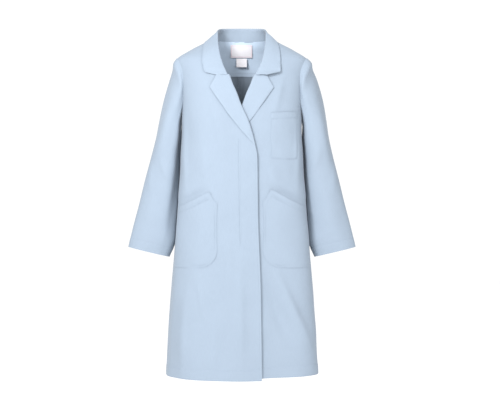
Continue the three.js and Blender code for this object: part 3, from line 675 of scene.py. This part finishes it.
for side, word in ((1, "left"), (-1, "right")):
    inwards, up = (9, 8) if side > 0 else (0, 0)
    inner = POCKET_INNER - inwards
    mouth = POCKET_MOUTH - np.array([inwards, -up]) * np.array([1, 1, 1, 0.4, 0, 0])[:, None]
    inner_turn = turn_at(np.array(float(inner)), np.array(-560.0))
    share = spread((0, 0.012, 2), (0.012, 0.9, 26), (0.9, 0.99, 12), (0.99, 1, 3))
    turn = 0.045 + (inner_turn - 0.045) * share
    x = np.cos(turn) ** 0.8
    x = inner + (x - x[-1]) / (x[0] - x[-1]) * (POCKET_OUTER - inner)
    top = np.interp(x, mouth[:, 0], mouth[:, 1])
    low = pocket_floor(x, inner)
    down = spread((0, 0.008, 3), (0.008, 0.09, 5), (0.09, 0.12, 4), (0.12, 0.985, 34), (0.985, 1, 3))[:, None]
    z = top + (low - top) * down
    x = x + 0 * z
    half = between(BODY, z)[0]
    to_seam = (half - 1.0 - POCKET_WIDENS) / (POCKET_OUTER - POCKET_WIDENS)
    x = np.where(x > POCKET_WIDENS, POCKET_WIDENS + (x - POCKET_WIDENS) * to_seam, x)
    from_mouth = top - z
    gape = pocket_gape(x, inwards, from_mouth)
    hem = 0.4 * ease((21 - from_mouth) / 4)
    edge = np.minimum(x - inner, z - low + 2)
    tuck = -0.5 * np.exp(-np.maximum(edge, 0) / 1.6)
    sag = 0.9 * np.sin(x / 15 + 0.3 * side) * np.sin(z / 33)
    sag = sag + fold(x, z, (110, -520), (150, -680), 14, 20, 1)
    near_side = ease((half - x) / 8)
    grid = front_point(side, x, z, (1.1 + gape + hem + tuck + sag * 0.5) * near_side + 0.9 * (1 - near_side))
    parts = [sheet_parts(grid, PATCH_THICK)]
    rim_x = np.concatenate([np.full(30, float(inner)), np.linspace(inner, 200, 80)])
    side_z = np.linspace(-498 + up, POCKET_BOTTOM + POCKET_ROUND, 30)
    rim_z = np.concatenate([side_z, pocket_floor(rim_x[30:], inner)])
    for inset in (2.0, 8.0):
        swing = np.clip((inner + POCKET_ROUND - rim_x) / POCKET_ROUND, 0, 1)
        line_x = rim_x + inset * swing
        line_z = rim_z + inset * np.sqrt(1 - swing**2)
        parts.append(front_stitches(side, line_x, line_z, 1.0 if inset < 5 else 1.15))
    mouth_x = np.linspace(97 - inwards, 192, 60)
    for below in (14.0, 20.0):
        mouth_z = np.interp(mouth_x, mouth[:, 0], mouth[:, 1]) - below
        parts.append(front_stitches(side, mouth_x, mouth_z, 1.5 + pocket_gape(mouth_x, inwards, below)))
    piece = sewn(f"hip_pocket_{word}", parts, [body_cloth, thread])
    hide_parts(f"{word}_hip_pocket")
    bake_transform(piece)


# Chest pocket: a small patch on the left front, beside the lapel, open along a hemmed top edge.
CHEST = {"inner": 88, "outer": 167, "top": -218, "slant": 6, "bottom": -362}
inner, outer = CHEST["inner"], CHEST["outer"]
sew_in, sew_out = inner + 2.0, outer - 2.0
x = spread((inner, sew_in, 3), (sew_in, sew_out, 16), (sew_out, outer, 3))[None, :]
down = spread((0, 0.01, 3), (0.01, 0.12, 4), (0.12, 0.15, 3), (0.15, 0.99, 20), (0.99, 1, 3))[:, None]
top = CHEST["top"] - CHEST["slant"] * (outer - x) / (outer - inner)
low = CHEST["bottom"] + 5 * np.exp(-(x - inner) / 3) + 5 * np.exp(-(outer - x) / 3)
z = top + (low - top) * down
x = x + 0 * z
from_mouth = top - z
gape = 2.0 * np.sin(math.pi * (x - inner) / (outer - inner)) * np.exp(-from_mouth / 16)
edge = np.minimum(np.minimum(x - inner, outer - x), z - low)
off = 1.1 + gape + 0.4 * ease((18 - from_mouth) / 4) - 0.5 * np.exp(-np.maximum(edge, 0) / 1.6)
grid = front_point(1, x, z, off + 0.25 * np.sin(x / 9 + z / 14))
parts = [sheet_parts(grid, PATCH_THICK)]
rim_x = np.concatenate([np.full(40, sew_in), np.linspace(sew_in, sew_out, 24), np.full(40, sew_out)])
rim_z = np.concatenate([np.linspace(-226, -359, 40), np.full(24, -359.0), np.linspace(-359, -221, 40)])
parts.append(front_stitches(1, rim_x, rim_z, 1.0))
parts.append(front_stitches(1, np.linspace(sew_in, sew_out, 30), np.linspace(-242, -236, 30), 1.9))
piece = sewn("chest_pocket_patch", parts, [body_cloth, thread])
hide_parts("chest_pocket")
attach(piece, "torso")


# Sleeves: one cut of cloth each, sewn into a tube and set into the armhole, with a plain hemmed cuff.
# They hang a little away from the body, with a soft fold down the front, and are bent slightly at the
# elbow, where each is made as two sheets that meet.
LEAN = math.radians(13.5)
SLEEVE_TOP = (149, 8, -72)
SLEEVE_LONG = 590
SLEEVE = np.array([
    [-6, 60, -42, 58, 0], [30, 66, -42, 68, 0], [115, 70, -40, 76, 2], [190, 68, -28, 77, 4],
    [250, 66, -25, 74, 6], [322, 66, -37, 66, 8], [418, 67, -53, 55, 8], [470, 67, -61, 48, 6],
    [508, 67, -67.5, 42, 4], [536, 67, -72, 39, 2], [SLEEVE_LONG, 67, -63, 31, 0],
], dtype=float)
ELBOW_PLANE = 450
CUFF_TURN = 30
SLEEVE_THICK = 0.9


def tube(side, s, angle, off):
    """A point of a sleeve without its folds, s down from the shoulder."""
    outer, inner, depth, shift = between(SLEEVE, s)
    outer = outer + (5 if side > 0 else -4) * np.exp(-(((s - 90) / 150) ** 2))
    wide = (outer - inner) / 2 + off
    across = (outer + inner) / 2 + wide * np.cos(angle)
    x = SLEEVE_TOP[0] + s * math.sin(LEAN) + across * math.cos(LEAN)
    z = SLEEVE_TOP[2] - s * math.cos(LEAN) + across * math.sin(LEAN)
    y = SLEEVE_TOP[1] + shift - (depth + off) * np.sin(angle)
    return np.stack([side * x, y, z], axis=-1)


def sleeve_off(side, s, angle):
    """Folds of a sleeve. The angle is 0 at the outer edge, 90 degrees at the front and 180 by the body."""
    a = np.degrees(angle)
    if side < 0:
        folds = fold(a, s, (128, 60), (112, 640), 12, 22, 4.5)
        folds -= fold(a, s, (158, 80), (146, 560), 16, 16, 4.0)
        folds += fold(a, s, (70, 300), (120, 372), 16, 12, 2.4)
        folds += fold(a, s, (60, 40), (75, 330), 18, 24, 1.8)
    else:
        folds = fold(a, s, (140, 80), (124, 600), 12, 24, 3.6)
        folds += fold(a, s, (75, 260), (125, 340), 14, 14, 2.0)
        folds += fold(a, s, (48, 30), (60, 420), 18, 24, 2.0)
    folds += fold(a, s, (20, 300), (70, 430), 14, 14, 1.6)
    folds += fold(a, s, (230, 60), (250, 500), 18, 24, 4.0) - fold(a, s, (285, 120), (275, 560), 20, 20, 3.0)
    ripple = 0.9 * np.sin(angle * 5 + s / 70) * ease(s / 200) + 0.5 * np.sin(angle * 3 - s / 31)
    cuff = 0.7 * ease((s - (SLEEVE_LONG - CUFF_TURN)) / 3)
    by_body = np.exp(-(((a - 180) / 26) ** 2)) * ease((s - 150) / 60)
    return (folds * 1.5 * ease((s + 10) / 120) + ripple) * (1 - 0.9 * by_body) + cuff


for side, word in ((1, "left"), (-1, "right")):
    rounds = 96
    angle = np.arange(rounds) * 2 * math.pi / rounds
    seam_z = -145 + 95 * np.cos(angle)
    front_half = angle <= math.pi
    seam_x = np.where(front_half, between(ARMHOLE_FRONT, seam_z)[0], between(ARMHOLE_BACK, seam_z)[0])
    seam_x = np.minimum(seam_x, between(BODY, seam_z)[0] * 0.9995)
    seam_turn = turn_at(seam_x, seam_z)
    lift = front_off(side, seam_x, seam_z) * ease(seam_turn / 0.10)
    back_lift = back_off(side, seam_x, seam_z) * ease(seam_turn / 0.12)
    hole = np.where(front_half[:, None], on_body(side, seam_turn, seam_z, True, lift - 0.4),
                    on_body(side, seam_turn, seam_z, False, back_lift - 0.4))
    tuck_turn = turn_at(seam_x - 6, seam_z)
    tuck = np.where(front_half[:, None], on_body(side, tuck_turn, seam_z, True, lift - 2.8),
                    on_body(side, tuck_turn, seam_z, False, back_lift - 2.8))
    dx, dz = np.abs(hole[:, 0]) - SLEEVE_TOP[0], hole[:, 2] - SLEEVE_TOP[2]
    seam_s = dx * math.sin(LEAN) - dz * math.cos(LEAN)
    miss = hole - tube(side, seam_s, angle, sleeve_off(side, seam_s, angle))

    def cloth_at(s):
        """The sleeve s down from the shoulder, drawn to its armhole and kept off the body."""
        near = 1 - ease((s - seam_s) / np.where(np.cos(angle) > 0.3, 70, 130))
        cap = (9.0 if side > 0 else 6.5) * np.exp(-(((s - seam_s - 15) / 15) ** 2))
        cap = cap * ease(np.cos(angle) + 0.2)
        p = tube(side, s, angle, sleeve_off(side, s, angle) + cap) + miss * near[..., None]
        inwards = 7 * np.exp(-(((angle - math.pi) / 0.7) ** 2)) * ease((s - seam_s) / 25)
        p[..., 0] -= side * inwards * (1 - ease((s - seam_s - 60) / 90))
        half, fore, aft = between(BODY, p[..., 2])
        deep = np.minimum(np.abs(p[..., 1] - SIDE_Y) / np.where(p[..., 1] < SIDE_Y, fore, aft), 1)
        body_x = (half + 3.2) * (1 - deep**2.5) ** 0.4
        inside = np.maximum(body_x - np.abs(p[..., 0]), 0) * ease((s - seam_s - 3) / 18)
        p[..., 0] += side * inside * (deep < 0.97)
        return p

    fine = np.linspace(0, 1, 241)[:, None]
    paths = cloth_at(seam_s + (SLEEVE_LONG - seam_s) * fine)
    reach = 0.6 * np.abs(paths[..., 0]) - 0.8 * paths[..., 2]
    cut = np.array([np.interp(ELBOW_PLANE, reach[:, j], fine[:, 0]) for j in range(rounds)])
    cut_s = seam_s + (SLEEVE_LONG - seam_s) * cut
    share = spread((0, 0.012, 2), (0.012, 0.1, 8), (0.1, 0.985, 53), (0.985, 1, 4))[:, None]
    top_grid = np.concatenate([tuck[None], cloth_at(seam_s + (cut_s - seam_s) * share)])
    low_share = spread((0, 0.03, 5), (0.03, 0.86, 42), (0.86, 0.90, 6), (0.90, 0.99, 5), (0.99, 1, 3))
    low_share = low_share[:, None]
    low_grid = cloth_at(cut_s + (SLEEVE_LONG - cut_s) * low_share)
    for name, node, grid in (("sleeve_top", "sleeve_upper", top_grid), ("forearm", "sleeve_lower", low_grid)):
        out = grid - grid.mean(axis=1, keepdims=True)
        parts = [sheet_parts(grid, SLEEVE_THICK, ring=True, out=out)]
        if node == "sleeve_lower":
            line = cloth_at(np.full(rounds, float(SLEEVE_LONG - CUFF_TURN)))
            line = np.concatenate([line, line[:1]])
            lift = line - line.mean(axis=0)
            parts.append(stitches(line + lift / np.linalg.norm(lift, axis=1, keepdims=True) * 0.2, lift))
        piece = sewn(f"{name}_{word}", parts, [body_cloth, thread])
        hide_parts(f"{word}_{node}")
        if node == "sleeve_upper":
            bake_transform(piece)
        else:
            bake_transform(piece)


# Collar: one rolled piece, with a stand that rises from the neck seam and a leaf that falls outside it.
# The leaf lies on the shoulders and the fronts, and its front ends make the upper side of the notches.
COLLAR_FOLD = np.array([
    [0, -42, -112, -109], [0.08, -54, -105, -84], [0.16, -66, -86, -44], [0.24, -72, -58, -4],
    [0.32, -74, -22, 34], [0.4, -66, 22, 48], [0.45, -44, 48, 53], [0.5, 0, 60, 55],
], dtype=float)
COLLAR_EDGE = {
    -1: np.array([
        [0, -75, -120, -110], [0.035, -92, -116, -106], [0.072, -109, -108, -101], [0.09, -113, -106, -95],
        [0.16, -119, -88, -62], [0.24, -118, -62, -18], [0.32, -108, -18, 6], [0.4, -86, 44, 8],
        [0.45, -52, 74, 3], [0.5, 0, 84, 2],
    ], dtype=float),
    1: np.array([
        [0, -76, -120, -109], [0.035, -96, -116, -104], [0.072, -116, -108, -98], [0.09, -117, -106, -92],
        [0.16, -117, -88, -58], [0.24, -113, -62, -18], [0.32, -103, -18, 6], [0.4, -84, 44, 8],
        [0.45, -52, 74, 3], [0.5, 0, 84, 2],
    ], dtype=float),
}
COLLAR_SEAM = np.array([
    [0, -50, -98, -106], [0.08, -62, -90, -84], [0.16, -76, -72, -46], [0.24, -82, -40, -8],
    [0.32, -80, -8, 9], [0.4, -71, 35, 10.5], [0.45, -44, 50, 10.5], [0.5, 0, 55, 10.5],
], dtype=float)


def round_neck(right, left, share):
    """A line round the neck, from the right front end to the left one."""
    x, y, z = between(right, np.minimum(share, 0.5))
    far_x, far_y, far_z = between(left, np.minimum(1 - share, 0.5))
    near = (share <= 0.5)[:, None]
    return np.where(near, np.stack([x, y, z], axis=-1), np.stack([-far_x, far_y, far_z], axis=-1))


def off_shoulders(p, stand):
    """Moves points of the collar out to where they lie on the coat."""
    half, fore, aft = between(BODY, np.clip(p[..., 2], HEM_Z, 20))
    ahead = p[..., 1] < SIDE_Y
    lap = np.where(ahead & (p[..., 0] < 0), 9 * ease((half - np.abs(p[..., 0])) / 90), 0)
    stand = stand + lap
    share_x = np.minimum(np.abs(p[..., 0]) / (half + stand), 1)
    depth = (1 - share_x**2.5) ** 0.4
    front_y = np.minimum(p[..., 1], SIDE_Y - (fore + stand) * depth)
    back_y = np.maximum(p[..., 1], SIDE_Y + (aft + stand) * depth)
    pushed = np.where(ahead, front_y, back_y)
    moved = p.copy()
    moved[..., 1] = p[..., 1] + (pushed - p[..., 1]) * ease((30 - p[..., 2]) / 16)
    return moved


share = spread((0, 0.035, 6), (0.035, 0.09, 10), (0.09, 0.5, 44),
               (0.5, 0.91, 44), (0.91, 0.965, 10), (0.965, 1, 6))
seam = round_neck(COLLAR_SEAM, COLLAR_SEAM, share)
turned = round_neck(COLLAR_FOLD, COLLAR_FOLD, share)
fallen = round_neck(COLLAR_EDGE[-1], COLLAR_EDGE[1], share)
stand = np.interp(np.minimum(share, 1 - share), [0, 0.03, 0.075, 0.2], [2.9, 3.3, 6.2, 5.6])
stand = stand - 0.8 * ease((share - 0.93) / 0.05)
turned = off_shoulders(turned, stand - 0.6)
fallen = off_shoulders(fallen, stand)
middle = off_shoulders((turned + fallen) / 2, stand + 0.4)
away = fallen - seam
away = away / np.linalg.norm(away, axis=1, keepdims=True)
up = np.array([0, 0, 1.0])
rise = np.interp(np.minimum(share, 1 - share), [0, 0.1, 0.3, 0.5], [0.5, 1.5, 3, 3.5])[:, None]
rows = np.stack([
    seam, seam * 0.35 + turned * 0.65,
    turned - up * rise * 0.6 - away * 0.8, turned + up * rise * 0.4 + away * 1.2,
    off_shoulders(turned * 0.86 + fallen * 0.14, stand + 0.2) + away * 1.6 + up * rise * 0.3,
    middle + away * 1.6 + up * 1.0, fallen * 0.97 + middle * 0.03, fallen,
])
places = spread((0, 0.3, 8), (0.3, 0.6, 16), (0.6, 0.98, 20), (0.98, 1, 3))
leaf = spline([0, 0.3, 0.42, 0.48, 0.58, 0.78, 0.985, 1.0], rows, places)
leaf[24:] = off_shoulders(leaf[24:], stand)
out = np.zeros(leaf.shape)
out[30:] = leaf[30:] * [1, 1, 0] - [0, SIDE_Y, 0] + [0, 0, 30]
parts = [sheet_parts(leaf, CLOTH_THICK, out=out)]
line = leaf[-5][8:-8]
parts.append(stitches(line, off_shoulders(line, 60) - line + [0, 0, 8]))
piece = sewn("collar_leaf", parts, [collar_cloth, thread])
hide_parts("top_collar")
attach(piece, "torso")

inside = leaf[26:44, 4:-4]
inner_n = normals_of(inside, False)
if np.sum(inner_n * (inside * [1, 1, 0] - [0, SIDE_Y, 0])) < 0:
    inner_n = -inner_n
under = inside - inner_n * 1.5
piece = sewn("collar_under", [sheet_parts(under, 0.6)], [facing_cloth_painted_light])
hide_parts("under_collar")
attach(piece, "torso")


# Back-neck facing: a shaped piece of the paler facing cloth that lines the inside of the neck, wrong side
# hidden. Its paleness is painted light against the shade inside the neck.
FACING_SHAPE = [[13, 84], [0, 96], [-30, 96], [-70, 80], [-86, 64], [-93, 48]]
z = spread((12.5, -91, 26), (-91, -93, 2))[::-1][:, None]
wide = between(FACING_SHAPE, z)[0]
x = wide * spread((-1, -0.97, 2), (-0.97, 0.97, 40), (0.97, 1, 2))[None, :]
grid = on_body(1, turn_at(x, z), z, False, -CLOTH_THICK - 1.6 + 0.5 * np.sin(x / 21 + z / 17))
parts = [sheet_parts(grid, FACING_THICK)]
low = grid[-5][4:-4] - [0, 1.1, 0]
parts.append(stitches(low, np.tile([0.0, -1.0, 0.0], (len(low), 1))))
piece = sewn("neck_facing", parts, [facing_cloth_painted_light, thread])
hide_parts("back_neck_facing")
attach(piece, "torso")


# Neck label and size tag: satin-woven tape, both blank. The label lies on the facing, its stitching all round
# not made, and has a narrow woven border. The tag is a short piece that hangs just below the label.
label_tape = cotton("label_tape", (0.59, 0.58, 0.61), threads=3000.0, wrinkle=0.05)
border_tape = cotton("border_tape", (0.52, 0.40, 0.47), threads=3000.0, wrinkle=0.0)
x = spread((-36, -34, 2), (-34, -32.4, 1), (-32.4, 28.4, 26), (28.4, 30, 1), (30, 32, 2))[None, :]
share = spread((0, 0.05, 2), (0.05, 0.09, 1), (0.09, 0.91, 14), (0.91, 0.95, 1), (0.95, 1, 2))[:, None]
y = 51.4 + (67.4 - 51.4) * share
z = 3.2 + (-35.5 - 3.2) * share
bow = 1.0 * np.sin(math.pi * share) * np.cos(x / 24)
grid = np.stack([x + 0 * z, y - bow + 0 * x, z + 0 * x], axis=-1)
marks = np.zeros((grid.shape[0] - 1, grid.shape[1] - 1), dtype=int)
marks[2, 2:-2] = 1
marks[-3, 2:-2] = 1
marks[2:-2, 2] = 1
marks[2:-2, -3] = 1
forward = np.tile([0.0, -1.0, 0.0], (*grid.shape[:2], 1))
piece = sewn("label", [sheet_parts(grid, 0.5, out=forward, marks=marks)], [label_tape, border_tape])
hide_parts("neck_label")
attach(piece, "torso")

x = spread((-18, 15, 14))[None, :]
share = spread((0, 1, 14))[:, None]
z = -37.8 - 27 * share
y = 66.6 + 0.9 * np.sin(math.pi * share) * np.cos(x / 13)
grid = np.stack([x + 0 * z, y + 0 * x, z + 0 * x], axis=-1)
forward = np.tile([0.0, -1.0, 0.0], (*grid.shape[:2], 1))
piece = sewn("tag", [sheet_parts(grid, 0.5, out=forward)], [label_tape])
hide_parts("size_tag")
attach(piece, "size_tag")


# Studio: a white floor well under the hem, an even white surround, and large soft lamps.
FLOOR_Z = -1.45
floor_mesh = bpy.data.meshes.new("floor")
floor_corners = [(x, y, FLOOR_Z) for x, y in ((-9, -6), (9, -6), (9, 12), (-9, 12))]
floor_mesh.from_pydata(floor_corners, [], [(0, 1, 2, 3)])
floor = bpy.data.objects.new("floor", floor_mesh)
bpy.context.scene.collection.objects.link(floor)
white = bpy.data.materials.new("floor_white")
white.use_nodes = True
white.node_tree.nodes["Principled BSDF"].inputs["Base Color"].default_value = (0.98, 0.98, 0.98, 1)
white.node_tree.nodes["Principled BSDF"].inputs["Roughness"].default_value = 0.9
floor_mesh.materials.append(white)

world = bpy.data.worlds.new("studio")
bpy.context.scene.world = world
world.use_nodes = True
world.node_tree.nodes["Background"].inputs["Color"].default_value = (1, 1, 1, 1)
world.node_tree.nodes["Background"].inputs["Strength"].default_value = 1.05


def lamp(name, place, aim, size, power):
    """A soft rectangular lamp that points at its aim."""
    data = bpy.data.lights.new(name, "AREA")
    data.shape = "RECTANGLE"
    data.size, data.size_y = size
    data.energy = power
    made = bpy.data.objects.new(name, data)
    made.location = place
    look = np.array(aim) - np.array(place)
    made.rotation_euler = Vector(look).to_track_quat("-Z", "Y").to_euler()
    bpy.context.scene.collection.objects.link(made)


lamp("key", (-1.1, -2.2, 0.75), (0, 0, -0.1), (0.8, 0.8), 98)
lamp("fill", (1.3, -3.2, 0.2), (0, 0, -0.3), (2.0, 2.0), 78)

bpy.context.scene.view_settings.view_transform = "Standard"
view = bpy.data.cameras.new("view")
view.lens = 83.6
view.sensor_width = 36
camera = bpy.data.objects.new("view", view)
camera.location = (0.025, -3.6, -0.511)
camera.rotation_euler = (math.pi / 2, 0, 0)
bpy.context.scene.collection.objects.link(camera)
bpy.context.scene.camera = camera
